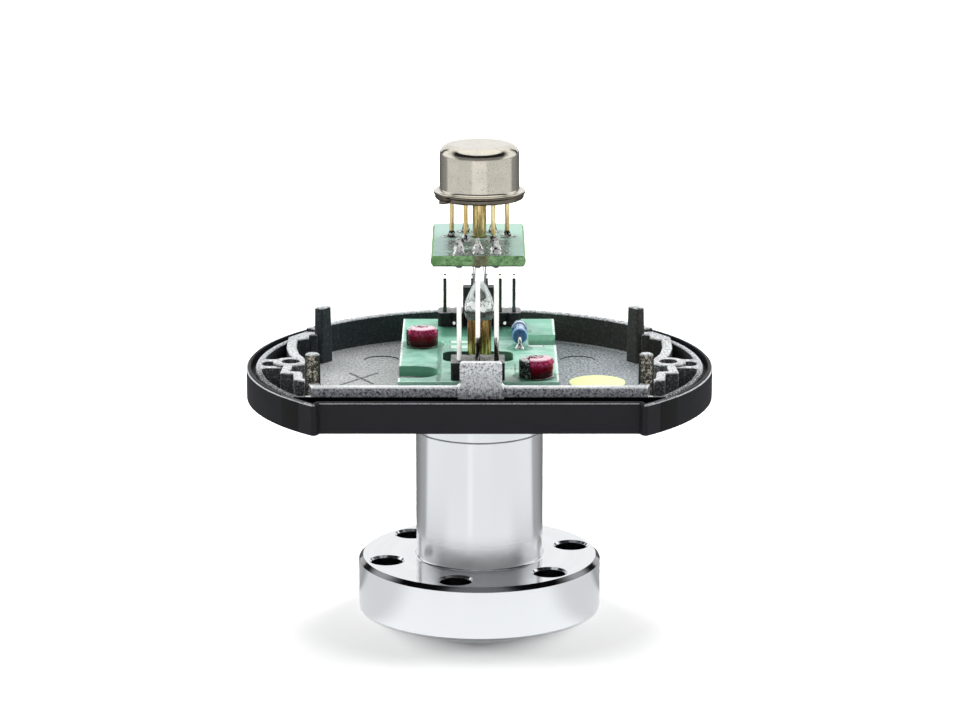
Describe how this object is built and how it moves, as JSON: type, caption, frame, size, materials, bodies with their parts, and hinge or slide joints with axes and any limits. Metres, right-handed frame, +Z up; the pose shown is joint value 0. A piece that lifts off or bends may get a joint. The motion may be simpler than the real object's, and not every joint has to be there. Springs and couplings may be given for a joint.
{
  "type": "pirani vacuum gauge",
  "caption": "Heat-loss vacuum gauge on a small knife-edge flange, cover off: a sealed sensor can on gold pins over a cast base that carries its circuit board.",
  "frame": {"origin": "centre of the flange's sealing face, which the gauge stands on", "axes": "+Z up the tube to the sensor can, -Y towards the flat front of the cast base, +X to the right seen from that front"},
  "size_m": [0.0648, 0.0559, 0.0661],
  "materials": {
    "stainless": "fine turned",
    "casting": "bare die casting inside, black paint outside",
    "green_board": "satin solder mask",
    "black_plastic": "moulded",
    "screw_steel": "plated",
    "varnish": "glossy brushed-on varnish",
    "tinned": "bright tin",
    "gold_metal": "drawn, gold coloured",
    "dark_oxide": "oxidised",
    "clear_glass": "blown",
    "bead_glass": "fused bead",
    "nickel": "nickel plated",
    "blue_lacquer": "lacquered, colour bands",
    "yellow_paper": "adhesive dot"
  },
  "bodies": {
    "root": {"flange_tube": "stainless", "neck_collar": "stainless", "base_casting": "casting", "main_board": "green_board", "sensor_board": "green_board", "board_screws": "screw_steel", "screw_varnish": "varnish", "plug_header": "black_plastic", "plug_header_pins": "tinned", "jumper_cap": "black_plastic", "riser_header": "black_plastic", "riser_pins": "tinned", "inlet_tube": "gold_metal", "isolator_seal": "dark_oxide", "glass_isolator": "clear_glass", "sensor_tube": "gold_metal", "sensor_base": "nickel", "sensor_cap": "nickel", "sensor_pins": "gold_metal", "pin_seals": "bead_glass", "resistor_body": "blue_lacquer", "resistor_leads": "tinned", "riser_solder": "tinned", "sensor_solder": "tinned", "resistor_solder": "tinned", "floor_dot": "yellow_paper"}
  },
  "joints": []
}
